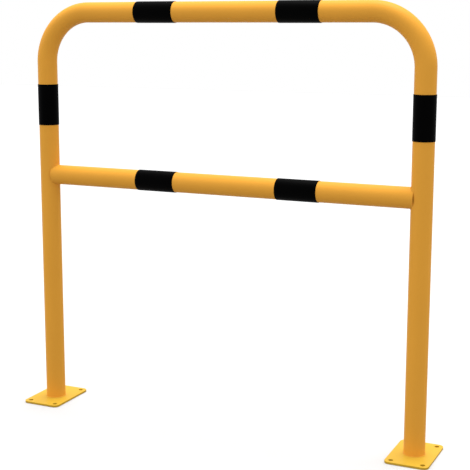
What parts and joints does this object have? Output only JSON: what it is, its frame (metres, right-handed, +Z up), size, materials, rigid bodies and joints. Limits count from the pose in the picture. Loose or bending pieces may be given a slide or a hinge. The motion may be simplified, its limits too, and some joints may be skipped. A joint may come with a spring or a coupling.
{
  "type": "steel protection hoop",
  "caption": "Floor-standing bent steel tube hoop with a welded cross rail, black bands and drilled base plates, coated yellow.",
  "frame": {"origin": "on the floor, in the middle under the hoop", "axes": "+X from the left leg to the right leg, +Y to the back, +Z up"},
  "size_m": [1.052, 0.15, 1.006],
  "materials": {
    "tube_coating": "satin powder coat",
    "plate_coating": "satin powder coat",
    "weld_coating": "satin powder coat over a weld bead",
    "black_band": "smooth black film"
  },
  "bodies": {
    "root": {"hoop_tube": "tube_coating", "cross_rail": "tube_coating", "base_plate_left": "plate_coating", "leg_band_left": "black_band", "top_band_left": "black_band", "rail_band_left": "black_band", "foot_weld_left": "weld_coating", "rail_weld_top_left": "weld_coating", "rail_weld_under_left": "weld_coating", "base_plate_right": "plate_coating", "leg_band_right": "black_band", "top_band_right": "black_band", "rail_band_right": "black_band", "foot_weld_right": "weld_coating", "rail_weld_top_right": "weld_coating", "rail_weld_under_right": "weld_coating"}
  },
  "joints": []
}
